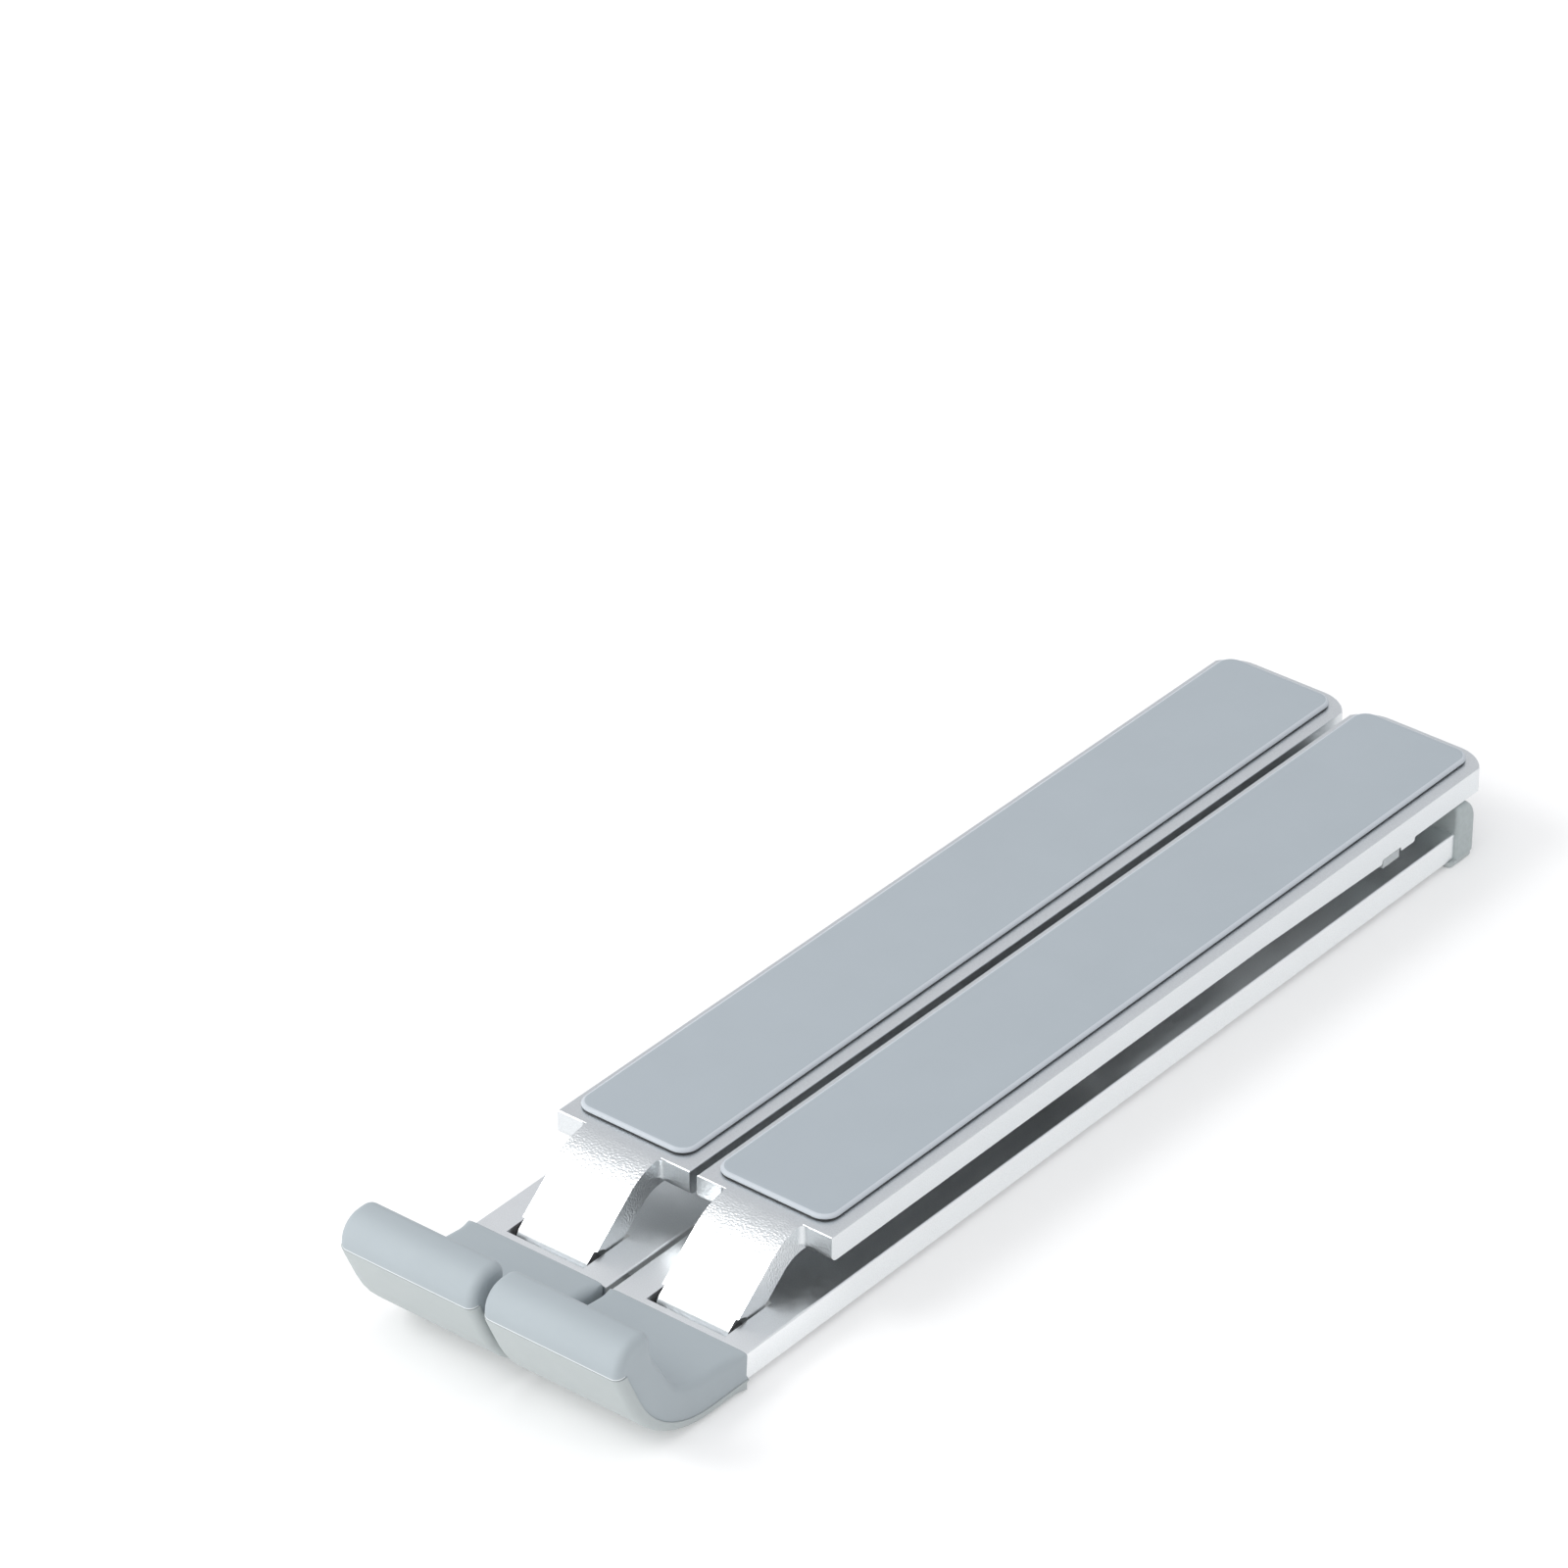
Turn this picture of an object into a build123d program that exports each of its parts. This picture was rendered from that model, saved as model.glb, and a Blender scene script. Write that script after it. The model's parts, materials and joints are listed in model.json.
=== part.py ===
from build123d import *
import os
from math import asin, cos, degrees, radians

# Folding laptop stand, folded flat.
#
# Two equal halves lie side by side. Each half is a base bar on the table, with a padded hook at
# its front end, a support arm hinged to the bar just behind the hook, and a strut that hangs
# under the arm and stands on the bar when the arm is raised. Two crossed links run through the
# hollow bars, so that the halves spread apart and stay parallel.
#
# Frame: X runs across the two halves, Y from the hooks (-) to the rear (+), Z up from the table.
# The origin is under the middle of the folded stand. Each piece is built for the right half (+X),
# and its twin for the left half is its mirror image.

os.makedirs("parts", exist_ok=True)

# ---------------------------------------------------------------- driving dimensions, millimetres

# Lengths along Y are counted from the arm's front edge.
arm_front = -68.35
arm_length = 192.2

# Levels above the table.
bar_bottom = 1.2
bar_top = 6.6
arm_top = 17.7

# Base bar: a channel that is open underneath.
bar_in = 0.5
bar_out = 29.3
bar_front = arm_front - 22.3
bar_rear = arm_front + 181.8
bar_plate = 2.0
bar_wall = 1.8
bar_edge = 0.35
relief_y = (arm_front + 31, arm_front + 172)
channel_front = arm_front - 6.5
plate_under = bar_top - bar_plate

# Hinge between the base bar and the arm's tongue.
hinge_y = arm_front - 16.45
hinge_z = bar_top - 2.2
hinge_pin_r = 1.2
hinge_pin_in = bar_in + 0.4
pin_end_gap = 0.1
pin_chamfer = 0.2
knuckle_r = 2.6
knuckle_step = 0.55
knuckle_step_r = knuckle_r + 0.6
washer_r = 2.0
window_x = (6.75, 23.55)
window_y = (arm_front - 20.5, arm_front - 8.3)

# Support arm: a plate with side flanges and a thick tongue at the front.
arm_in = 0.8
arm_out = 29.5
arm_plate = 1.8
arm_wall = 2.0
arm_height = 5.0
arm_height_rear = 5.9
taper_start = arm_front + 122
step_end = arm_front + 168.5
notch_y = (arm_front + 158.4, arm_front + 164.2)
under_edge_r = 0.4
arm_corner_y = 3.6
arm_corner_x = 6.5
arm_edge_r = 0.3
ear_bottom_r = 1.4
tongue_root_r = 1.2
pocket_front = 10.0
pocket_rear = 6.0
tongue_x = (7.05, 23.25)
tongue_thick = 5.2
tongue_bend_r = 12.6
tongue_root = 3.0
tongue_bend_y = arm_front - 3.6

# Pad on the arm.
pad_x = (2.3, 26.8)
pad_y = (arm_front + 2.3, arm_front + 190.3)
pad_thick = 1.1
pad_corner = 3.2
pad_edge_r = 0.35

# Strut under the arm.
strut_y = arm_front + 86
strut_z = arm_top - 4.1
strut_x = (6.3, 24.0)
strut_barrel_r = 2.0
strut_pin_r = 1.0
strut_washer = 0.6
strut_washer_r = 1.9
lug_half = 3.2
strut_thick = 2.9
strut_top = strut_z + 1.8
strut_edge_r = 0.4
strut_slot_width = 8.0
strut_slot_end = 11.0
blade_x = (8.0, 22.0)
blade_z = (strut_z - 0.5, strut_z + 1.1)
blade_rear = arm_front + 162.5
blade_root = 1.0
strut_end = arm_front + 156.5
foot_y = (arm_front + 158.7, arm_front + 163.7)
foot_bottom = arm_top - 6.9
foot_top = strut_z + 1.7
foot_joint_gap = 0.5
foot_side_gap = 0.5
foot_wing_x = (arm_in + 0.15, arm_out - 0.05)
foot_wing_gap = 0.15
nose_x = (7.0, 21.5)
nose_rear = arm_front + 165.2
foot_corner_r = 1.2
foot_rivet_r = 0.9
rivet_cap_r = 1.6
rivet_cap = 0.5
rivet_top_gap = 0.1
rivet_x = (10.5, 18.0)
rivet_y = arm_front + 160.5

# Level slots in the base bar, where the strut's foot stands.
slot_x = (6.4, 22.1)
slot_length = 6.5
slot_pitch = 8.5
slot_count = 4
slot_first_y = arm_front + 131.3
slot_corner = 1.2

# Hook at the front of the base bar, with its silicone sleeve and its foot.
sleeve_in = 0.7
sleeve_out = 30.1
sleeve_end_r = 1.4
core_x = (2.4, 28.4)
core_thick = 3.0
core_root = 1.0
core_bend_r = 10.0
front_foot_thick = 1.8

# Rear cap.
cap_rear = arm_front + 187.8
cap_top = arm_top - arm_height - 0.35
cap_out = 29.9
cap_crown_r = 4.5
cap_edge_r = 1.2
cap_front_r = 0.7
plug_front = arm_front + 174
plug_bottom = bar_bottom + 0.3
rear_foot_front = arm_front + 180
rear_foot_edge_r = 0.5
rear_foot_inset = 0.5
rear_foot_thick = bar_bottom - 0.05

# Crossed links between the two bars. The angle is each link's from the Y axis when fully spread.
open_angle = radians(60)
link_length = 156.0
link_width = 9.0
link_thick = 1.0
link_pivot_x = 12.0
link_rear_y = arm_front + 166
link_upper_z = 3.1
link_lower_z = 1.9
link_rivet_r = 1.75
rivet_head_r = 2.9
rivet_tail = 0.5
rivet_tail_r = 3.2
sink_ratio = 0.869
centre_rivet_r = 1.5
centre_head_r = 3.0
centre_head = 0.35
centre_tail = 0.4
slide_pin_r = 1.5
slide_collar_r = 2.1
shoe_r = 3.2
shoe_edge_r = 0.2
shoe_below = 0.3
shoe_top_gap = 0.15
groove_depth = 1.0
groove_width = 7.0

# Gap all round a turning pin, play of a washer on its pin, and how far a cut reaches past its piece.
running_gap = 0.05
washer_play = 0.02
past = 1.0


# ---------------------------------------------------------------- helpers

def middle(span):
    return (span[0] + span[1]) / 2


def width(span):
    return span[1] - span[0]


def slab(x, y, z, mode=Mode.ADD):
    """Box between limits on each axis, in the part being built."""
    with Locations((middle(x), middle(y), middle(z))):
        Box(width(x), width(y), width(z), mode=mode)


def rod(x, y, z, radius, mode=Mode.ADD):
    """Cylinder along X between two limits, in the part being built."""
    with Locations((middle(x), y, z)):
        Cylinder(radius, width(x), rotation=(0, 90, 0), mode=mode)


def post(x, y, z, radius, mode=Mode.ADD):
    """Upright cylinder between two heights, in the part being built."""
    with Locations((x, y, middle(z))):
        Cylinder(radius, width(z), mode=mode)


def save_pair(piece, name):
    """Write the right-hand piece and its mirror image as the left-hand one."""
    piece.part.label = name + "_right"
    export_step(piece.part, f"parts/{name}_right.step")
    with BuildPart() as twin:
        mirror(piece.part, about=Plane.YZ)
    twin.part.label = name + "_left"
    export_step(twin.part, f"parts/{name}_left.step")


def save(piece, name):
    piece.part.label = name
    export_step(piece.part, f"parts/{name}.step")


# ---------------------------------------------------------------- hook outline, in the YZ plane

# Virtual corners of the hook's outline, from the shelf's rear edge over the crest to the bottom.
shelf_rear = (bar_front, bar_top + 0.9)
valley = (arm_front - 39.9, arm_top - 8.3)
wall_top = (arm_front - 46.65, arm_top + 2.9)
crest_rear = (arm_front - 46.65, arm_top + 8.1)
crest_front = (arm_front - 58.33, arm_top + 8.1)
bottom_front = (arm_front - 46.14, 0)
bottom_rear = (bar_front - 0.4, 0)
hook_outline = [shelf_rear, valley, wall_top, crest_rear, crest_front, bottom_front, bottom_rear]
valley_r = 8.0
wall_top_r = 6.0
crest_rear_r = 2.6
crest_front_r = 4.9
belly_r = 22.0
hook_radii = [valley_r, wall_top_r, crest_rear_r, crest_front_r, belly_r]

# Centre line of the metal core: level in the shelf, then up into the crest.
core_z = bar_top - core_thick / 2
core_start = (bar_front + core_root, core_z)
core_bend = (arm_front - 42.7, core_z)
core_end = (arm_front - 51.0, arm_top + 3.4)
core_line = [core_start, core_bend, core_end]

# Region of the outline that belongs to the foot. It starts at the parting line on the front face and
# reaches further in than the foot is thick, down to the sole.
parting_front = (arm_front - 60, arm_top + 3.2)
parting_rear = (arm_front - 53, arm_top + 1.8)
behind_front = (arm_front - 47, arm_top - 9)
behind_bend = (arm_front - 36, front_foot_thick + 1.4)
sole_front = (arm_front - 30, front_foot_thick)
sole_rear = (bar_front + past, front_foot_thick)
below_rear = (bar_front + past, -past)
below_front = (arm_front - 60, -past)
front_edge = [parting_front, parting_rear, behind_front, behind_bend]
foot_region = front_edge + [sole_front, sole_rear, below_rear, below_front]


def hook_solid(x, shrink=0.0, end_radius=0.0):
    """The hook's outline between two limits on X, shrunk all round, with rounded ends."""
    with BuildPart() as solid:
        with BuildSketch(Plane.YZ.offset(x[0])):
            with BuildLine():
                run = FilletPolyline(*hook_outline, radius=hook_radii)
                Line(run @ 1, run @ 0)
            make_face()
            if shrink:
                offset(amount=-shrink)
        extrude(amount=width(x))
        if end_radius:
            fillet(solid.faces().filter_by(Axis.X).edges(), end_radius)
    return solid.part


# ---------------------------------------------------------------- base bar

rest_angle = asin(2 * link_pivot_x / link_length)
link_front_y = link_rear_y - link_length * cos(rest_angle)
link_open_y = link_rear_y - link_length * cos(open_angle)
groove_y = (link_front_y - groove_width / 2, link_open_y + groove_width / 2)

with BuildPart() as base_bar:
    slab((bar_in, bar_out), (bar_front, bar_rear), (bar_bottom, bar_top))
    fillet(base_bar.edges().filter_by(Axis.Y), bar_edge)
    slab((bar_in + bar_wall, bar_out - bar_wall), (channel_front, bar_rear + past),
         (bar_bottom - past, plate_under), Mode.SUBTRACT)
    # The inner wall is cut away where the crossed links pass from bar to bar.
    slab((bar_in - past, bar_in + bar_wall + past), relief_y, (bar_bottom - past, plate_under),
         Mode.SUBTRACT)
    slab(window_x, window_y, (bar_bottom - past, bar_top + past), Mode.SUBTRACT)
    rod((bar_in - past, bar_out - bar_wall), hinge_y, hinge_z, hinge_pin_r + running_gap, Mode.SUBTRACT)
    # Guide groove for the sliding end of a link, under the plate.
    with BuildSketch(Plane.XY.offset(plate_under)):
        with Locations((link_pivot_x, middle(groove_y))):
            SlotOverall(width(groove_y), groove_width, rotation=90)
    extrude(amount=groove_depth, mode=Mode.SUBTRACT)
    with Locations((link_pivot_x, link_rear_y, bar_top)):
        CounterSinkHole(link_rivet_r, rivet_head_r, depth=bar_plate)
    # Level slots for the strut's foot.
    with BuildSketch(Plane.XY.offset(plate_under)):
        for index in range(slot_count):
            with Locations((middle(slot_x), slot_first_y + index * slot_pitch)):
                RectangleRounded(width(slot_x), slot_length, slot_corner)
    extrude(amount=bar_plate, mode=Mode.SUBTRACT)
    # Metal core of the hook.
    with BuildSketch(Plane.YZ.offset(core_x[0])):
        with BuildLine():
            FilletPolyline(*core_line, radius=core_bend_r)
        trace(line_width=core_thick)
    extrude(amount=width(core_x))
save_pair(base_bar, "base_bar")


# ---------------------------------------------------------------- hook sleeve and front foot

hook = hook_solid((sleeve_in, sleeve_out), end_radius=sleeve_end_r)
past_hook = (sleeve_in - past, sleeve_out + past)

with BuildPart() as foot_zone:
    with BuildSketch(Plane.YZ.offset(past_hook[0])):
        with BuildLine():
            Polyline(*foot_region, close=True)
        make_face()
    extrude(amount=width(past_hook))
    add(hook_solid(past_hook, shrink=front_foot_thick), mode=Mode.SUBTRACT)

with BuildPart() as front_foot:
    add(hook)
    add(foot_zone.part, mode=Mode.INTERSECT)
save_pair(front_foot, "front_foot")

with BuildPart() as hook_sleeve:
    add(hook)
    add(foot_zone.part, mode=Mode.SUBTRACT)
    with BuildSketch(Plane.YZ.offset(core_x[0])):
        with BuildLine():
            FilletPolyline(*core_line, radius=core_bend_r)
        trace(line_width=core_thick)
    extrude(amount=width(core_x), mode=Mode.SUBTRACT)
save_pair(hook_sleeve, "hook_sleeve")


# ---------------------------------------------------------------- rear cap and rear foot

cap_x = (sleeve_in, cap_out)

with BuildPart() as rear_cap:
    slab(cap_x, (bar_rear, cap_rear), (rear_foot_thick, cap_top))
    fillet(rear_cap.edges().filter_by(Axis.X).group_by(Axis.Y)[-1].sort_by(Axis.Z)[-1], cap_crown_r)
    fillet(rear_cap.faces().filter_by(Axis.X).edges().group_by(Axis.Y)[-1], cap_edge_r)
    fillet(rear_cap.edges().filter_by(Axis.Z).group_by(Axis.Y)[0], cap_front_r)
    slab((bar_in + bar_wall + running_gap, bar_out - bar_wall - running_gap), (plug_front, bar_rear),
         (plug_bottom, plate_under - running_gap))
save_pair(rear_cap, "rear_cap")

with BuildPart() as rear_foot:
    slab(cap_x, (rear_foot_front, cap_rear - rear_foot_inset), (0, rear_foot_thick))
    fillet(rear_foot.edges().filter_by(Axis.Z), cap_edge_r)
    fillet(rear_foot.faces().sort_by(Axis.Z)[0].edges(), rear_foot_edge_r)
save_pair(rear_foot, "rear_foot")


# ---------------------------------------------------------------- support arm

arm_rear = arm_front + arm_length
side_end = arm_rear - arm_corner_y
flange_end = arm_top - arm_height
flange_deep = arm_top - arm_height_rear
roof = arm_top - arm_plate
pocket_x = (arm_in + arm_wall, arm_out - arm_wall)
tongue_z = arm_top - tongue_thick / 2
tongue_line = [(arm_front + tongue_root, tongue_z), (tongue_bend_y, tongue_z), (hinge_y, hinge_z)]

# Lower edge of the flanges, from the front to the rear, with the notch for the strut's foot.
under_edge = [
    (arm_front - past, flange_end),
    (taper_start, flange_end),
    (notch_y[0], flange_deep),
    (notch_y[0], flange_end),
    (notch_y[1], flange_end),
    (notch_y[1], flange_deep),
    (step_end, flange_deep),
    (step_end, flange_end),
    (arm_rear + past, flange_end),
]
under_corners = [(arm_rear + past, flange_deep - past), (arm_front - past, flange_deep - past)]
lug_y = (strut_y - lug_half, strut_y + lug_half)
strut_pocket = (arm_front + pocket_front, arm_rear - pocket_rear)

with BuildPart() as support_arm:
    with BuildSketch(Plane.XY.offset(flange_deep)):
        with BuildLine():
            Polyline((arm_in, side_end), (arm_in, arm_front), (arm_out, arm_front), (arm_out, side_end))
            TangentArc((arm_out - arm_corner_x, arm_rear), (arm_out, side_end), tangent=(1, 0))
            TangentArc((arm_in + arm_corner_x, arm_rear), (arm_in, side_end), tangent=(-1, 0))
            Line((arm_in + arm_corner_x, arm_rear), (arm_out - arm_corner_x, arm_rear))
        make_face()
    extrude(amount=arm_height_rear)
    fillet(support_arm.faces().sort_by(Axis.Z)[-1].edges(), arm_edge_r)
    with BuildSketch(Plane.YZ.offset(arm_in - past)):
        with BuildLine():
            edge = FilletPolyline(*under_edge, radius=under_edge_r)
            Polyline(edge @ 1, *under_corners, edge @ 0)
        make_face()
    extrude(amount=arm_out - arm_in + 2 * past, mode=Mode.SUBTRACT)
    front_bottom = support_arm.edges().filter_by(Axis.X).group_by(Axis.Y)[0].sort_by(Axis.Z)[0]
    fillet(front_bottom, ear_bottom_r)
    slab(pocket_x, strut_pocket, (flange_deep - past, roof), Mode.SUBTRACT)
    # Tongue, bent down to the knuckle inside the base bar.
    with BuildSketch(Plane.YZ.offset(tongue_x[0])):
        with BuildLine():
            FilletPolyline(*tongue_line, radius=tongue_bend_r - tongue_thick / 2)
        trace(line_width=tongue_thick)
        with Locations((hinge_y, hinge_z)):
            Circle(knuckle_r)
    extrude(amount=width(tongue_x))
    # Rounded inner corners where the tongue leaves the front edge.
    with BuildSketch(Plane.XY.offset(flange_end + ear_bottom_r)):
        for side, way in ((tongue_x[0], -1), (tongue_x[1], 1)):
            with Locations((side + way * tongue_root_r / 2, arm_front - tongue_root_r / 2)):
                Rectangle(tongue_root_r, tongue_root_r)
            with Locations((side + way * tongue_root_r, arm_front - tongue_root_r)):
                Circle(tongue_root_r, mode=Mode.SUBTRACT)
    extrude(amount=arm_height - ear_bottom_r)
    for side in (tongue_x[0], tongue_x[1]):
        rod((side - knuckle_step, side + knuckle_step), hinge_y, hinge_z, knuckle_step_r, Mode.SUBTRACT)
    rod(tongue_x, hinge_y, hinge_z, hinge_pin_r + running_gap, Mode.SUBTRACT)
    # Lugs that carry the strut's pin.
    slab((pocket_x[0], strut_x[0] - strut_washer), lug_y, (strut_z - strut_barrel_r, roof))
    slab((strut_x[1] + strut_washer, pocket_x[1]), lug_y, (strut_z - strut_barrel_r, roof))
    rod((pocket_x[0], pocket_x[1]), strut_y, strut_z, strut_pin_r + running_gap, Mode.SUBTRACT)
save_pair(support_arm, "support_arm")


# ---------------------------------------------------------------- pads on the arms

def arm_pad(shift, name):
    """Silicone sheet with rounded corners, glued to an arm."""
    with BuildPart() as pad:
        with BuildSketch(Plane.XY.offset(arm_top)):
            with Locations((middle(pad_x) + shift, middle(pad_y))):
                RectangleRounded(width(pad_x), width(pad_y), pad_corner)
        extrude(amount=pad_thick)
        fillet(pad.faces().sort_by(Axis.Z)[-1].edges(), pad_edge_r)
    save(pad, name)


arm_pad(0, "arm_pad_right")
arm_pad(-(arm_in + arm_out), "arm_pad_left")


# ---------------------------------------------------------------- hinge pins and washers

with BuildPart() as arm_hinge_pin:
    rod((hinge_pin_in, bar_out - bar_wall - pin_end_gap), hinge_y, hinge_z, hinge_pin_r)
    chamfer(arm_hinge_pin.edges(), pin_chamfer)
save_pair(arm_hinge_pin, "arm_hinge_pin")

with BuildPart() as hinge_washers:
    rod((window_x[0], tongue_x[0] + knuckle_step - running_gap), hinge_y, hinge_z, washer_r)
    rod((tongue_x[1] - knuckle_step + running_gap, window_x[1]), hinge_y, hinge_z, washer_r)
    rod(window_x, hinge_y, hinge_z, hinge_pin_r + washer_play, Mode.SUBTRACT)
save_pair(hinge_washers, "hinge_washers")

with BuildPart() as strut_pin:
    rod((pocket_x[0] + pin_end_gap, pocket_x[1] - pin_end_gap), strut_y, strut_z, strut_pin_r)
    chamfer(strut_pin.edges(), pin_chamfer)
save_pair(strut_pin, "strut_pin")

with BuildPart() as strut_washers:
    rod((strut_x[0] - strut_washer, strut_x[0] - running_gap), strut_y, strut_z, strut_washer_r)
    rod((strut_x[1] + running_gap, strut_x[1] + strut_washer), strut_y, strut_z, strut_washer_r)
    rod((strut_x[0] - past, strut_x[1] + past), strut_y, strut_z, strut_pin_r + washer_play,
        Mode.SUBTRACT)
save_pair(strut_washers, "strut_washers")


# ---------------------------------------------------------------- strut and its foot

blade_y = (strut_end - blade_root, blade_rear)
strut_slot_length = strut_end - strut_y - 2 * strut_slot_end
strut_floor = strut_top - strut_thick
foot_front = strut_end + foot_joint_gap
rivet_bottom = foot_bottom + rivet_cap
rivet_top = foot_top - rivet_top_gap

with BuildPart() as strut:
    slab(strut_x, (strut_y, strut_end), (strut_floor, strut_top))
    fillet(strut.edges().filter_by(Axis.Y), strut_edge_r)
    rod(strut_x, strut_y, strut_z, strut_barrel_r)
    slab(blade_x, blade_y, blade_z)
    with BuildSketch(Plane.XY.offset(strut_floor)):
        with Locations((middle(strut_x), middle((strut_y, strut_end)))):
            SlotOverall(strut_slot_length, strut_slot_width, rotation=90)
    extrude(amount=strut_thick, mode=Mode.SUBTRACT)
    rod(strut_x, strut_y, strut_z, strut_pin_r + running_gap, Mode.SUBTRACT)
    for x in rivet_x:
        post(x, rivet_y, blade_z, foot_rivet_r, Mode.SUBTRACT)
save_pair(strut, "strut")

with BuildPart() as strut_foot:
    slab((pocket_x[0] + foot_side_gap, pocket_x[1] - foot_side_gap), (foot_front, foot_y[1]),
         (foot_bottom, foot_top))
    slab(nose_x, (foot_front, nose_rear), (foot_bottom, foot_top))
    nose_edge = strut_foot.edges().filter_by(Axis.X).group_by(Axis.Y)[-1].sort_by(Axis.Z)[0]
    fillet(nose_edge, foot_corner_r)
    slab(foot_wing_x, foot_y, (foot_bottom, flange_end - foot_wing_gap))
    slab(blade_x, blade_y, blade_z, Mode.SUBTRACT)
    for x in rivet_x:
        post(x, rivet_y, (foot_bottom - past, foot_top + past), foot_rivet_r, Mode.SUBTRACT)
        post(x, rivet_y, (foot_bottom - past, rivet_bottom + rivet_cap), rivet_cap_r, Mode.SUBTRACT)
        post(x, rivet_y, (foot_top - rivet_cap, foot_top + past), rivet_cap_r, Mode.SUBTRACT)
save_pair(strut_foot, "strut_foot")

with BuildPart() as foot_rivets:
    for x in rivet_x:
        post(x, rivet_y, (rivet_bottom, rivet_top), foot_rivet_r)
        post(x, rivet_y, (rivet_bottom, rivet_bottom + rivet_cap), rivet_cap_r)
        post(x, rivet_y, (foot_top - rivet_cap, rivet_top), rivet_cap_r)
save_pair(foot_rivets, "foot_rivets")


# ---------------------------------------------------------------- crossed links

link_turn = degrees(rest_angle)
link_centre_y = middle((link_rear_y, link_front_y))


def scissor_link(z, lean, name):
    """Flat link from the fixed pivot at the rear to the sliding pin at the front of the other bar."""
    with BuildPart() as link:
        with BuildSketch(Plane.XY.offset(z)):
            with Locations(Location((0, link_centre_y), 90 + lean)):
                SlotOverall(link_length + link_width, link_width)
            with Locations((0, link_centre_y)):
                Circle(centre_rivet_r + running_gap, mode=Mode.SUBTRACT)
            side = link_pivot_x if lean > 0 else -link_pivot_x
            with Locations((-side, link_rear_y)):
                Circle(link_rivet_r, mode=Mode.SUBTRACT)
            with Locations((side, link_front_y)):
                Circle(slide_pin_r, mode=Mode.SUBTRACT)
        extrude(amount=link_thick)
    save(link, name)


scissor_link(link_upper_z, link_turn, "scissor_link_upper")
scissor_link(link_lower_z, -link_turn, "scissor_link_lower")

upper_top = link_upper_z + link_thick

with BuildPart() as scissor_centre_rivet:
    post(0, link_centre_y, (link_lower_z - centre_tail, upper_top + centre_head), centre_rivet_r)
    post(0, link_centre_y, (link_lower_z - centre_tail, link_lower_z - running_gap), centre_head_r)
    post(0, link_centre_y, (upper_top, upper_top + centre_head), centre_head_r)
save(scissor_centre_rivet, "scissor_centre_rivet")


def fixed_rivet(x, link_z, side):
    """Rivet with a sunk head on top of the bar, which a link turns on, and the spacer above the link."""
    shank = link_rivet_r - running_gap
    head_height = (rivet_head_r - link_rivet_r) / sink_ratio
    with BuildPart() as rivet:
        post(x, link_rear_y, (link_z - rivet_tail, bar_top - head_height), shank)
        post(x, link_rear_y, (link_z - rivet_tail, link_z - running_gap), rivet_tail_r)
        with Locations((x, link_rear_y, bar_top - head_height / 2)):
            Cone(shank, rivet_head_r - running_gap, head_height)
    save(rivet, "scissor_rivet_" + side)
    with BuildPart() as spacer:
        post(x, link_rear_y, (link_z + link_thick + running_gap, plate_under), rivet_tail_r)
        post(x, link_rear_y, (link_z, plate_under + past), link_rivet_r, Mode.SUBTRACT)
    save(spacer, "scissor_spacer_" + side)


fixed_rivet(-link_pivot_x, link_upper_z, "left")
fixed_rivet(link_pivot_x, link_lower_z, "right")

shoe_z = (plate_under - shoe_below, plate_under + groove_depth - shoe_top_gap)


def slide_pin(x, link_z, side):
    """Pin fixed in the front end of a link, and the round shoe on it that runs in the bar's groove."""
    with BuildPart() as pin:
        post(x, link_front_y, (link_z - rivet_tail, shoe_z[1]), slide_pin_r)
        post(x, link_front_y, (link_z - rivet_tail, link_z), rivet_tail_r)
        post(x, link_front_y, (link_z + link_thick, shoe_z[0]), slide_collar_r)
    save(pin, "slide_pin_" + side)
    with BuildPart() as shoe:
        post(x, link_front_y, shoe_z, shoe_r)
        fillet(shoe.edges(), shoe_edge_r)
        post(x, link_front_y, shoe_z, slide_pin_r, Mode.SUBTRACT)
    save(shoe, "slide_shoe_" + side)


slide_pin(link_pivot_x, link_upper_z, "right")
slide_pin(-link_pivot_x, link_lower_z, "left")
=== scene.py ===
import json
from math import cos, pi, radians, sin, tan

import bmesh
import bpy
from mathutils import Matrix, Vector


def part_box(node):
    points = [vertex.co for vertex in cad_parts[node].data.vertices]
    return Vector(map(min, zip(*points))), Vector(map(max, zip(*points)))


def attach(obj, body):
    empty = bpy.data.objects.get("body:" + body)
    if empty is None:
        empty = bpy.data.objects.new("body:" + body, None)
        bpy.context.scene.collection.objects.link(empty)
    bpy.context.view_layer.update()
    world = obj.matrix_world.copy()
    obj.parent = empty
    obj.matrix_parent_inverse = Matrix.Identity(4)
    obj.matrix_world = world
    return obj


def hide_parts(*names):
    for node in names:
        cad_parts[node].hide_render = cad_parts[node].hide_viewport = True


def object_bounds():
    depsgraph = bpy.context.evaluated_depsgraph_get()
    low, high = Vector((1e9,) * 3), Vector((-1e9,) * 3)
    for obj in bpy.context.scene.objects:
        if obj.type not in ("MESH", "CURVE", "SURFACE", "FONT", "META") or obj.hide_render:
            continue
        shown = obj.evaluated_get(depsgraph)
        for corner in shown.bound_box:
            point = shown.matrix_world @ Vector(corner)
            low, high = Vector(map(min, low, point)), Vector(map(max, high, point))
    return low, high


# Folding laptop stand, folded flat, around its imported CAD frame. Lengths are metres, powers watts.
#
# The metal parts, pins and feet are the CAD nodes with materials of their own. The pads on the arms and the
# silicone hooks are new meshes that stand for their CAD nodes.

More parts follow.
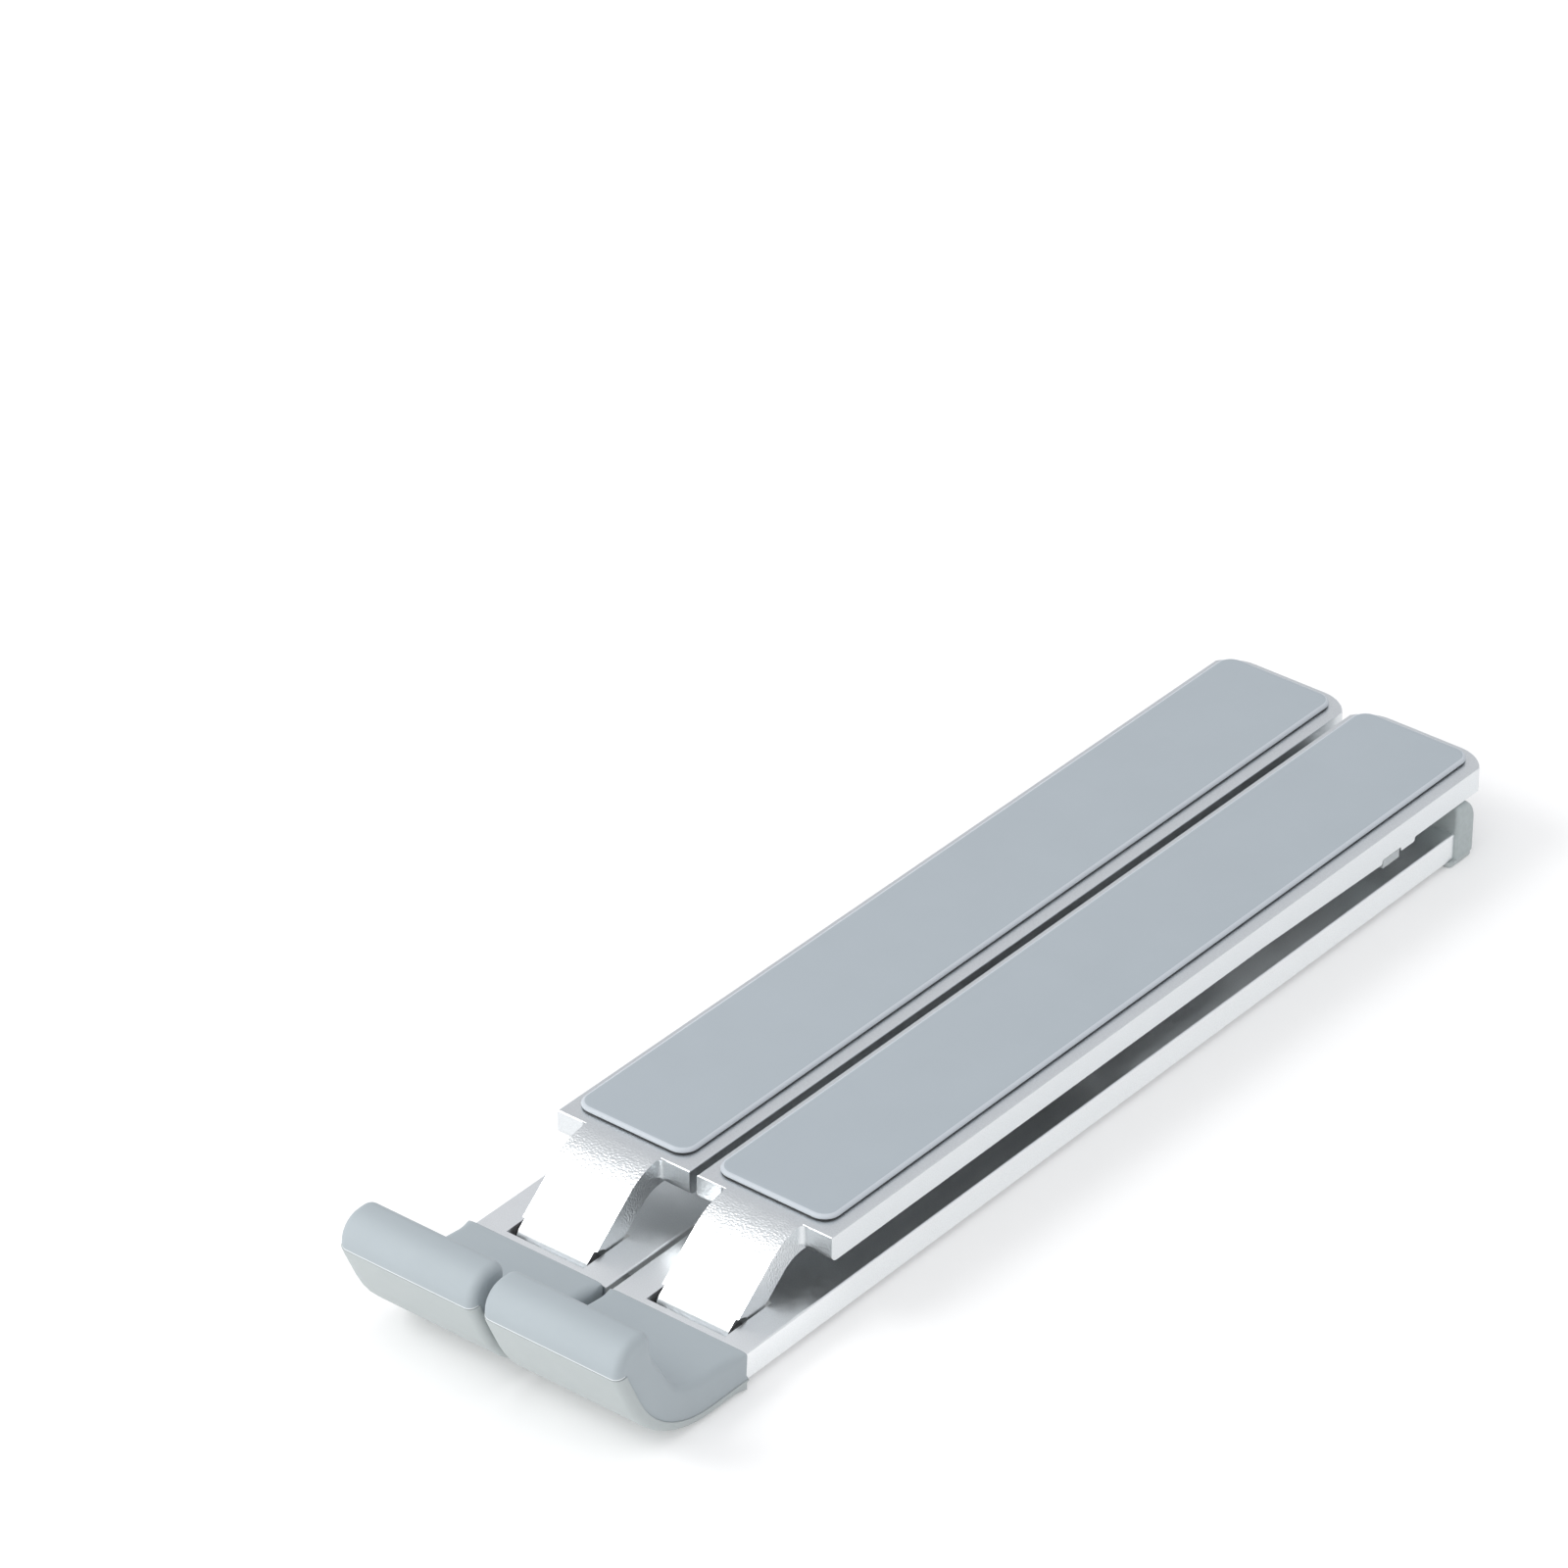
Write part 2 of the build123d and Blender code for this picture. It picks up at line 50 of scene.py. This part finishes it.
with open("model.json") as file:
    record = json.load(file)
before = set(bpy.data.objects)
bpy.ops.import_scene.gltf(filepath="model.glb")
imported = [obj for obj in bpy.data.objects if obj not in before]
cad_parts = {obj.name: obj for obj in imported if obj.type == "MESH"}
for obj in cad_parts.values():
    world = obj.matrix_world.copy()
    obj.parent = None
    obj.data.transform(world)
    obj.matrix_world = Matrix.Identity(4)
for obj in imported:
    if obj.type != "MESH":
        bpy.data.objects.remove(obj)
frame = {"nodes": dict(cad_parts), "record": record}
cad_low, cad_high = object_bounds()

MM = 0.001
SIDES = ("left", "right")
# The arms' front edge lies a little in front of their pads. The tongues are coarser from their bend on.
PAD_SETBACK = 2.3 * MM
ARM_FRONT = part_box("arm_pad_right")[0].y - PAD_SETBACK
PEBBLED_TONGUE = (ARM_FRONT - 11 * MM, ARM_FRONT + 1 * MM)
# Edges that turn by more than these angles stay sharp, on CAD nodes and on the new meshes.
CAD_SHARP = radians(32)
MESH_SHARP = radians(35)


# ---------------------------------------------------------------- material helpers

def new_material(name, colour, roughness, metallic=0.0):
    """A Principled material, its node tree and its shader."""
    made = bpy.data.materials.new(name)
    made.use_nodes = True
    tree = made.node_tree
    shader = tree.nodes["Principled BSDF"]
    shader.inputs["Base Color"].default_value = (*colour, 1)
    shader.inputs["Roughness"].default_value = roughness
    shader.inputs["Metallic"].default_value = metallic
    return made, tree, shader


def object_space(tree, stretch=(1, 1, 1)):
    """Coordinates in metres, stretched along each axis."""
    place = tree.nodes.new("ShaderNodeTexCoord")
    mapping = tree.nodes.new("ShaderNodeMapping")
    mapping.inputs["Scale"].default_value = stretch
    tree.links.new(place.outputs["Object"], mapping.inputs["Vector"])
    return mapping.outputs["Vector"]


def noise(tree, grain, stretch=(1, 1, 1), detail=2.0, rough=0.5):
    """Noise whose grains are about that many metres across."""
    texture = tree.nodes.new("ShaderNodeTexNoise")
    texture.inputs["Scale"].default_value = 1 / grain
    texture.inputs["Detail"].default_value = detail
    texture.inputs["Roughness"].default_value = rough
    tree.links.new(object_space(tree, stretch), texture.inputs["Vector"])
    return texture.outputs["Fac"]


def remap(tree, value, low, high, start=0.3, end=0.7):
    """A value from start..end, which is where most noise lies, to low..high."""
    node = tree.nodes.new("ShaderNodeMapRange")
    node.inputs["From Min"].default_value = start
    node.inputs["From Max"].default_value = end
    node.inputs["To Min"].default_value = low
    node.inputs["To Max"].default_value = high
    tree.links.new(value, node.inputs["Value"])
    return node.outputs["Result"]


def tint(tree, value, dark, light):
    """A colour between dark and light."""
    mix = tree.nodes.new("ShaderNodeMix")
    mix.data_type = "RGBA"
    mix.inputs["A"].default_value = (*dark, 1)
    mix.inputs["B"].default_value = (*light, 1)
    tree.links.new(value, mix.inputs["Factor"])
    return mix.outputs["Result"]


def scaled(colour, by):
    return tuple(c * by for c in colour)


def multiply(tree, first, second):
    node = tree.nodes.new("ShaderNodeMath")
    node.operation = "MULTIPLY"
    tree.links.new(first, node.inputs[0])
    tree.links.new(second, node.inputs[1])
    return node.outputs["Value"]


def mottle(tree, shader, pattern, colour, dark, light):
    """The base colour, between two multiples of itself by a pattern from 0 to 1."""
    both = tint(tree, pattern, scaled(colour, dark), scaled(colour, light))
    tree.links.new(both, shader.inputs["Base Color"])


def vary_roughness(tree, shader, pattern, roughness, less, more):
    """The roughness, from less below to more above the given one by a noise pattern."""
    tree.links.new(remap(tree, pattern, roughness - less, roughness + more), shader.inputs["Roughness"])


def bump(tree, shader, height, depth, strength=1.0, after=None):
    """Relief of that depth in metres; after is the relief that it goes on top of."""
    node = tree.nodes.new("ShaderNodeBump")
    node.inputs["Distance"].default_value = depth
    node.inputs["Strength"].default_value = strength
    tree.links.new(height, node.inputs["Height"])
    if after:
        tree.links.new(after, node.inputs["Normal"])
    tree.links.new(node.outputs["Normal"], shader.inputs["Normal"])
    return node.outputs["Normal"]


# ---------------------------------------------------------------- materials

def silicone(name, colour, roughness=0.62):
    """Moulded silicone rubber: matte, with a very fine grain and faint cloudy handling marks."""
    made, tree, shader = new_material(name, colour, roughness)
    clouds = remap(tree, noise(tree, 12 * MM, detail=4), 0, 1)
    mottle(tree, shader, clouds, colour, dark=0.988, light=1.012)
    vary_roughness(tree, shader, noise(tree, 5 * MM), roughness, less=0.05, more=0.06)
    grain = noise(tree, 0.14 * MM, detail=1)
    bump(tree, shader, grain, depth=0.012 * MM, strength=0.5)
    shader.inputs["Specular IOR Level"].default_value = 0.4
    shader.inputs["Sheen Weight"].default_value = 0.08
    return made


def pebble_cells(tree):
    """Rounded cells like the skin of coarse castings, a little longer across than along."""
    cells = tree.nodes.new("ShaderNodeTexVoronoi")
    cells.feature = "SMOOTH_F1"
    cells.inputs["Scale"].default_value = 1 / (0.42 * MM)
    cells.inputs["Smoothness"].default_value = 0.6
    tree.links.new(object_space(tree, (0.8, 1.2, 1)), cells.inputs["Vector"])
    return cells.outputs["Distance"]


def along_y(tree, start, end, fade=2.5 * MM):
    """1 between start and end on the Y axis, fading to 0 just inside both."""
    split = tree.nodes.new("ShaderNodeSeparateXYZ")
    tree.links.new(object_space(tree), split.inputs["Vector"])
    rise = remap(tree, split.outputs["Y"], 0, 1, start, start + fade)
    fall = remap(tree, split.outputs["Y"], 1, 0, end - fade, end)
    return multiply(tree, rise, fall)


def sandblasted(name, colour, roughness=0.36, relief=0.008 * MM, pebbled=None):
    """Sandblasted, anodised aluminium with pits of that relief.

    pebbled is the (start, end) along Y where it is coarser.
    """
    made, tree, shader = new_material(name, colour, roughness, 1.0)
    speckle = noise(tree, 0.22 * MM, detail=4, rough=0.65)
    mottle(tree, shader, remap(tree, speckle, 0, 1), colour, dark=0.92, light=1.06)
    vary_roughness(tree, shader, noise(tree, 1.5 * MM), roughness, less=0.03, more=0.04)
    fine = bump(tree, shader, speckle, relief, strength=0.30)
    if pebbled:
        pebbles = multiply(tree, pebble_cells(tree), along_y(tree, *pebbled))
        bump(tree, shader, pebbles, depth=0.13 * MM, strength=0.75, after=fine)
    return made


def brushed(name, colour, roughness=0.3, along=(1, 0.04, 1)):
    """Rolled or ground steel with fine lines along one axis."""
    made, tree, shader = new_material(name, colour, roughness, 1.0)
    lines = noise(tree, 0.12 * MM, stretch=along, detail=3)
    mottle(tree, shader, remap(tree, lines, 0, 1), colour, dark=0.85, light=1.05)
    vary_roughness(tree, shader, lines, roughness, less=0.08, more=0.12)
    bump(tree, shader, lines, depth=0.01 * MM, strength=0.5)
    return made


def moulded(name, colour, roughness=0.5):
    """Moulded plastic with a fine spark-eroded texture."""
    made, tree, shader = new_material(name, colour, roughness)
    speckle = remap(tree, noise(tree, 0.8 * MM, detail=4), 0, 1)
    mottle(tree, shader, speckle, colour, dark=0.95, light=1.05)
    vary_roughness(tree, shader, noise(tree, 2 * MM), roughness, less=0.05, more=0.08)
    spark = noise(tree, 0.2 * MM, detail=2)
    bump(tree, shader, spark, depth=0.02 * MM, strength=0.6)
    return made


looks = {
    "arm_metal": sandblasted("arm_aluminium", (0.78, 0.805, 0.82), roughness=0.33, pebbled=PEBBLED_TONGUE),
    "bar_metal": sandblasted("bar_aluminium", (0.93, 0.95, 0.96), roughness=0.31, relief=0.002 * MM),
    "strut_metal": sandblasted("strut_aluminium", (0.86, 0.88, 0.89), roughness=0.40, relief=0.004 * MM),
    "link_steel": brushed("link_steel", (0.55, 0.56, 0.58)),
    "pin_steel": brushed("pin_steel", (0.62, 0.63, 0.64), along=(0.04, 1, 1)),
    "rivet_steel": brushed("rivet_steel", (0.66, 0.67, 0.68), along=(1, 1, 0.3)),
    "washer_nylon": moulded("washer_nylon", (0.03, 0.03, 0.032)),
    "pad_silicone": silicone("pad_silicone", (0.362, 0.405, 0.440)),
    "hook_silicone": silicone("hook_silicone", (0.358, 0.402, 0.428)),
    # The foot's silicone is the sleeve's, a little greener in its own tone, and lighter as painted light for
    # its front-facing faces.
    "foot_silicone": silicone("foot_silicone", (0.415, 0.452, 0.455)),
    "cap_plastic": moulded("cap_plastic", (0.39, 0.435, 0.44)),
    "strut_foot_plastic": moulded("strut_foot_plastic", (0.42, 0.45, 0.46)),
    "adhesive": moulded("adhesive_film", (0.02, 0.022, 0.024), roughness=0.7),
    # The pad's edge bevel: a paler silicone that is a painted highlight.
    "pad_rim_highlight": silicone("pad_rim_highlight", (0.50, 0.54, 0.58), roughness=0.5),
    # The parting-line flash: a pale silicone that is a painted highlight.
    "flash_highlight": silicone("flash_highlight", (0.62, 0.66, 0.68), roughness=0.5),
}

slot_of = {entry["node"]: entry["material_slot"] for entry in frame["record"]["subparts"]}


def finish_cad_node(name):
    """The CAD node keeps its shape and gets its slot's material and smooth shading between its edges."""
    node = frame["nodes"][name]
    node.data.materials.clear()
    node.data.materials.append(looks[slot_of[name]])
    node.data.shade_smooth()
    node.data.set_sharp_from_angle(angle=CAD_SHARP)


for node_name in frame["nodes"]:
    finish_cad_node(node_name)


# ---------------------------------------------------------------- mesh helpers

SAME_POINT = 0.001 * MM
SMALLEST_RADIUS = 0.1 * MM


def piece_from(bm, name, body, slot, *replaced):
    """A finished piece from a bmesh: shaded, painted, riding on its body and standing for its CAD nodes."""
    mesh = bpy.data.meshes.new(name)
    bmesh.ops.remove_doubles(bm, verts=bm.verts, dist=SAME_POINT)
    bmesh.ops.recalc_face_normals(bm, faces=bm.faces)
    bm.to_mesh(mesh)
    bm.free()
    mesh.materials.append(looks[slot])
    mesh.shade_smooth()
    mesh.set_sharp_from_angle(angle=MESH_SHARP)
    piece = bpy.data.objects.new(name, mesh)
    bpy.context.scene.collection.objects.link(piece)
    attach(piece, body)
    if replaced:
        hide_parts(*replaced)
    return piece


def rounded_rectangle(low, high, radius, inset, steps=10):
    """Points round a rectangle in plan with rounded corners, inset all round."""
    left, right = low.x + radius, high.x - radius
    front, rear = low.y + radius, high.y - radius
    turned = max(radius - inset, SMALLEST_RADIUS)
    points = []
    for quarter, (x, y) in enumerate(((right, rear), (left, rear), (left, front), (right, front))):
        for step in range(steps + 1):
            turn = pi / 2 * (quarter + step / steps)
            points.append((x + turned * cos(turn), y + turned * sin(turn)))
    return points


def skin(bm, loops):
    """Quads between closed loops of the same number of points, with the first and last loop filled."""
    rings = [[bm.verts.new(point) for point in loop] for loop in loops]
    for ring, following in zip(rings, rings[1:]):
        for i in range(len(ring)):
            j = (i + 1) % len(ring)
            bm.faces.new((ring[i], ring[j], following[j], following[i]))
    bm.faces.new(rings[0])
    bm.faces.new(rings[-1])


# ---------------------------------------------------------------- pads on the arms

PAD_CORNER = 3.2 * MM
# Each step of the pad's edge is its inset in millimetres and its share of the thickness, from the adhesive
# film up over the soft lip to the flat top.
PAD_FILM = [(0.22, 0.0), (0.22, 0.28)]
PAD_LIP = [(0.05, 0.34), (0.0, 0.46), (0.03, 0.60), (0.16, 0.80), (0.38, 0.93), (0.62, 0.99)]
PAD_TOP = [(1.15, 1.0)]
PAD_SLOTS = {"film": 1, "rim": 2}


def arm_pad(side):
    """Silicone sheet with a soft cut edge that overhangs the dark adhesive film under it; the edge's paler
    colour is a painted highlight.
    """
    low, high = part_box("arm_pad_" + side)
    bm = bmesh.new()
    loops = []
    for inset, share in PAD_FILM + PAD_LIP + PAD_TOP:
        z = low.z + share * (high.z - low.z)
        loops.append([(x, y, z) for x, y in rounded_rectangle(low, high, PAD_CORNER, inset * MM)])
    skin(bm, loops)
    film_top = low.z + PAD_FILM[-1][1] * (high.z - low.z)
    rim_end = len(PAD_FILM) + len(PAD_LIP) - 1
    across = len(loops[0])
    for index, face in enumerate(bm.faces):
        ring = index // across
        if face.calc_center_median().z < film_top:
            face.material_index = PAD_SLOTS["film"]
        # The lip's faces get the paler rim colour, a painted highlight.
        elif ring < rim_end and len(face.verts) == 4:
            face.material_index = PAD_SLOTS["rim"]
    pad = piece_from(bm, "silicone_pad_" + side, "arm_" + side, "pad_silicone", "arm_pad_" + side)
    pad.data.materials.append(looks["adhesive"])
    pad.data.materials.append(looks["pad_rim_highlight"])


for side in SIDES:
    arm_pad(side)


# ---------------------------------------------------------------- hooks

# The hook's outline across the stand: virtual corners in millimetres, from the shelf's rear edge over the
# crest to the bottom, each with the radius it is rounded by. Y is counted from the hook's rear end.
HOOK_CORNERS = [
    (0.0, 7.5, 0.9),
    (-17.6, 9.4, 8.0),
    (-24.35, 20.6, 6.0),
    (-24.35, 25.8, 2.6),
    (-36.03, 25.8, 4.9),
    (-23.84, 0.0, 22.0),
    (-0.4, 0.0, 0.4),
]
OUTLINE_GAP = 1.2 * MM
# The hook's ends are rounded by this radius, which fades to a share of it near the rear.
HOOK_END = 1.7 * MM
HOOK_END_STEPS = 6
HOOK_REAR_FADE = 3 * MM
HOOK_REAR_SHARE = 0.15
# The foot is this thick. It ends at this height on the front, and its inner face runs straight to the rear
# end from this far in front of it.
FOOT_THICK = 2.0 * MM
FOOT_TOP = 20.6 * MM
FOOT_REAR = 1 * MM
# The bevel of the parting face between foot and sleeve at both ends of the hook.
PARTING = 0.18 * MM
# A direction counts as forward, down or back when it points that way by more than this.
FACING = 0.35
# The sleeve is this much shorter at each end than the foot.
SLEEVE_STEP = 0.22 * MM
# The flash stands this far out, between these shares of the way to the outline's next point.
FLASH_OUT = 0.02 * MM
FLASH_SHARES = (0.12, 0.35)
# The sleeve's slot for the flash's pale colour, a painted highlight.
FLASH_HIGHLIGHT_SLOT = 1


def rounded_outline(corners, steps=9):
    """Points round a closed outline in the YZ plane whose corners are rounded, in metres."""
    points = []
    for i, (y, z, radius) in enumerate(corners):
        here = Vector((y, z))
        before = (Vector(corners[i - 1][:2]) - here).normalized()
        after = (Vector(corners[(i + 1) % len(corners)][:2]) - here).normalized()
        half = before.angle(after) / 2
        reach = radius / tan(half)
        centre = here + (before + after).normalized() * (radius / sin(half))
        start, end = here + before * reach - centre, here + after * reach - centre
        turn = start.angle_signed(end)
        for step in range(steps + 1):
            points.append((centre + Matrix.Rotation(-turn * step / steps, 2) @ start) * MM)
    return points


def outward(points):
    """The outward direction at each point of a closed outline."""
    area = sum(a.x * b.y - b.x * a.y for a, b in zip(points, points[1:] + points[:1]))
    flip = 1 if area > 0 else -1
    ways = []
    for i in range(len(points)):
        run = (points[(i + 1) % len(points)] - points[i - 1]).normalized()
        ways.append(Vector((run.y, -run.x)) * flip)
    return ways


def resampled(points, gap):
    """The same outline with points no further apart than the gap."""
    dense = []
    for a, b in zip(points, points[1:] + points[:1]):
        pieces = max(1, int((b - a).length / gap))
        dense += [a.lerp(b, k / pieces) for k in range(pieces)]
    return dense


def swept(bm, profile, x_from, x_to, end_radius, bevel):
    """Solid along X from a profile of (point, outward direction, how much of the end rounding it takes).

    A point that takes none lies on a parting face, which has only a small bevel at both ends.
    """
    stations = []
    for step in range(HOOK_END_STEPS + 1):
        turn = pi / 2 * step / HOOK_END_STEPS
        stations.append((x_from + end_radius * (1 - sin(turn)), end_radius * (1 - cos(turn))))
    stations = stations[::-1]
    stations += [(x_from + x_to - x, inset) for x, inset in reversed(stations)]
    loops = []
    for number, (x, inset) in enumerate(stations):
        parting_inset = bevel if number in (0, len(stations) - 1) else 0
        loop = []
        for point, way, share in profile:
            moved = point - way * (inset * share if share else parting_inset)
            loop.append((x, moved.x, moved.y))
        loops.append(loop)
    skin(bm, loops)


def is_foot(point, way):
    """Whether a point of the outline belongs to the foot, by its height and its outward direction."""
    in_front = way.x < -FACING and point.y < FOOT_TOP
    underneath = way.y < -FACING
    behind = way.x > FACING and point.y < FOOT_THICK
    return in_front or underneath or behind


def hook_outline(rear):
    """The hook's outline as (point, outward direction, share of the end rounding), round from the shelf."""
    outline = resampled(rounded_outline(HOOK_CORNERS), OUTLINE_GAP)
    points = [Vector((point.x + rear, point.y)) for point in outline]
    # The end rounding fades out towards the hook's rear, where the sleeve meets the bar.
    shares = [min(1.0, max(HOOK_REAR_SHARE, (rear - point.x) / HOOK_REAR_FADE)) for point in points]
    return list(zip(points, outward(points), shares))


def hook(side):
    """Silicone sleeve over the hook's core, and the foot let into its front and underside."""
    low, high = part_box("hook_sleeve_" + side)
    rear = high.y
    outline = hook_outline(rear)
    count = len(outline)
    # The foot takes the outline from the parting line on the front face down and under to the rear.
    in_foot = [is_foot(point, way) for point, way, _ in outline]
    first = next(i for i in range(count) if in_foot[i] and not in_foot[i - 1])
    last = next(i for i in range(first, first + count) if not in_foot[(i + 1) % count])
    foot_outline = [outline[i % count] for i in range(first, last + 1)]
    sleeve_outline = [outline[i % count] for i in range(last + 1, first + count)]
    # Foot and sleeve meet in a parting face under the foot's outline. It takes no end rounding.
    parting = [(point - way * FOOT_THICK, way, 0) for point, way, _ in foot_outline
               if point.x < rear - FOOT_REAR and way.x < FACING]
    parting.append((Vector((rear, FOOT_THICK)), Vector((0, -1)), 0))
    foot_profile = foot_outline + [(point, way * -1, 0) for point, way, _ in reversed(parting)]
    foot_bm = bmesh.new()
    swept(foot_bm, foot_profile, low.x, high.x, HOOK_END, PARTING)
    piece_from(foot_bm, "hook_foot_" + side, "base_" + side, "foot_silicone", "front_foot_" + side)
    # The sleeve's lower lip, just above the parting line, carries a thin raised moulding flash, coloured
    # pale as a painted highlight.
    top, way, share = outline[first]
    above = outline[first - 1][0]
    low_share, high_share = FLASH_SHARES
    lip = (top.lerp(above, high_share), way, share)
    flash = (top.lerp(above, low_share) + way * FLASH_OUT, way, share)
    sleeve_profile = sleeve_outline + [lip, flash] + parting
    sleeve_from, sleeve_to = low.x + SLEEVE_STEP, high.x - SLEEVE_STEP
    sleeve_bm = bmesh.new()
    swept(sleeve_bm, sleeve_profile, sleeve_from, sleeve_to, HOOK_END, PARTING)
    highlight_at = len(sleeve_outline)
    for index, face in enumerate(sleeve_bm.faces):
        if len(face.verts) == 4 and index % len(sleeve_profile) == highlight_at:
            face.material_index = FLASH_HIGHLIGHT_SLOT
    grip = piece_from(sleeve_bm, "hook_grip_" + side, "base_" + side, "hook_silicone", "hook_sleeve_" + side)
    grip.data.materials.append(looks["flash_highlight"])


for side in SIDES:
    hook(side)


# ---------------------------------------------------------------- floor, lights and world

def box_light(name, place, aim, size, power):
    """Soft box of that (width, height), pointing from its place to its aim."""
    light = bpy.data.lights.new(name, "AREA")
    light.shape = "RECTANGLE"
    light.size, light.size_y = size
    light.energy = power
    holder = bpy.data.objects.new(name, light)
    holder.location = place
    holder.rotation_euler = (Vector(aim) - Vector(place)).to_track_quat("-Z", "Y").to_euler()
    bpy.context.scene.collection.objects.link(holder)


FLOOR_HALF = 6.0
# The floor lies a hair below the feet. It glows a little, like a sweep lit from below.
FLOOR_GAP = 0.02 * MM
FLOOR_GLOW = 0.18
# The sky is bright in front of the stand, on the -Y side, and dimmer behind it, and one fades into the other
# between these Y parts of a direction.
SKY_FRONT = (1.02, 1.02, 1.02)
SKY_BACK = (0.66, 0.67, 0.695)
SKY_BLEND = (-0.5, 0.5)
# What the soft boxes point at.
STAND = (0, 0, 0)
HOOKS = (0, -0.08, 0)
HOOK_FACES = (0, -0.08, 0.01)

floor_mesh = bpy.data.meshes.new("floor")
floor_corners = [(x * FLOOR_HALF, y * FLOOR_HALF, 0) for x, y in ((-1, -1), (1, -1), (1, 1), (-1, 1))]
floor_mesh.from_pydata(floor_corners, [], [(0, 1, 2, 3)])
floor = bpy.data.objects.new("floor", floor_mesh)
floor.location.z = -FLOOR_GAP
bpy.context.scene.collection.objects.link(floor)
floor_paint, _, floor_shader = new_material("floor_paint", (0.80, 0.80, 0.80), 0.9)
floor_shader.inputs["Emission Color"].default_value = (1, 1, 1, 1)
floor_shader.inputs["Emission Strength"].default_value = FLOOR_GLOW
floor_mesh.materials.append(floor_paint)

world = bpy.data.worlds.new("studio")
world.use_nodes = True
sky = world.node_tree
direction = sky.nodes.new("ShaderNodeTexCoord")
split_direction = sky.nodes.new("ShaderNodeSeparateXYZ")
sky.links.new(direction.outputs["Generated"], split_direction.inputs["Vector"])
backness = remap(sky, split_direction.outputs["Y"], 0, 1, *SKY_BLEND)
sky.links.new(tint(sky, backness, SKY_FRONT, SKY_BACK), sky.nodes["Background"].inputs["Color"])
bpy.context.scene.world = world

box_light("front_left_box", (-0.70, -0.74, 0.92), HOOKS, (0.56, 0.56), 5.8)
box_light("top_box", (0.25, 0.0, 1.3), STAND, (1.2, 1.2), 2.4)
box_light("low_front_box", (-0.50, -1.10, 0.20), HOOK_FACES, (0.5, 0.3), 2.2)

bpy.context.scene.view_settings.view_transform = "Standard"


# ---------------------------------------------------------------- camera

AZIMUTH = radians(38.456)
ELEVATION = radians(32.185)
ROLL = radians(0.394)
DISTANCE = 1.412
LENS = 179.06
SENSOR = 36
# The camera looks at a point beside the middle of the stand.
AIM_OFFSET = Vector((-69.1, 42.3, 0)) * MM

middle = (cad_low + cad_high) / 2
aim = middle + AIM_OFFSET
back = Vector((sin(AZIMUTH) * cos(ELEVATION), -cos(AZIMUTH) * cos(ELEVATION), sin(ELEVATION)))
camera = bpy.data.objects.new("camera", bpy.data.cameras.new("camera"))
camera.data.lens = LENS
camera.data.sensor_width = SENSOR
camera.location = aim + back * DISTANCE
camera.rotation_mode = "QUATERNION"
level = (-back).to_track_quat("-Z", "Y").to_matrix()
camera.rotation_quaternion = (Matrix.Rotation(ROLL, 3, back) @ level).to_quaternion()
bpy.context.scene.collection.objects.link(camera)
bpy.context.scene.camera = camera
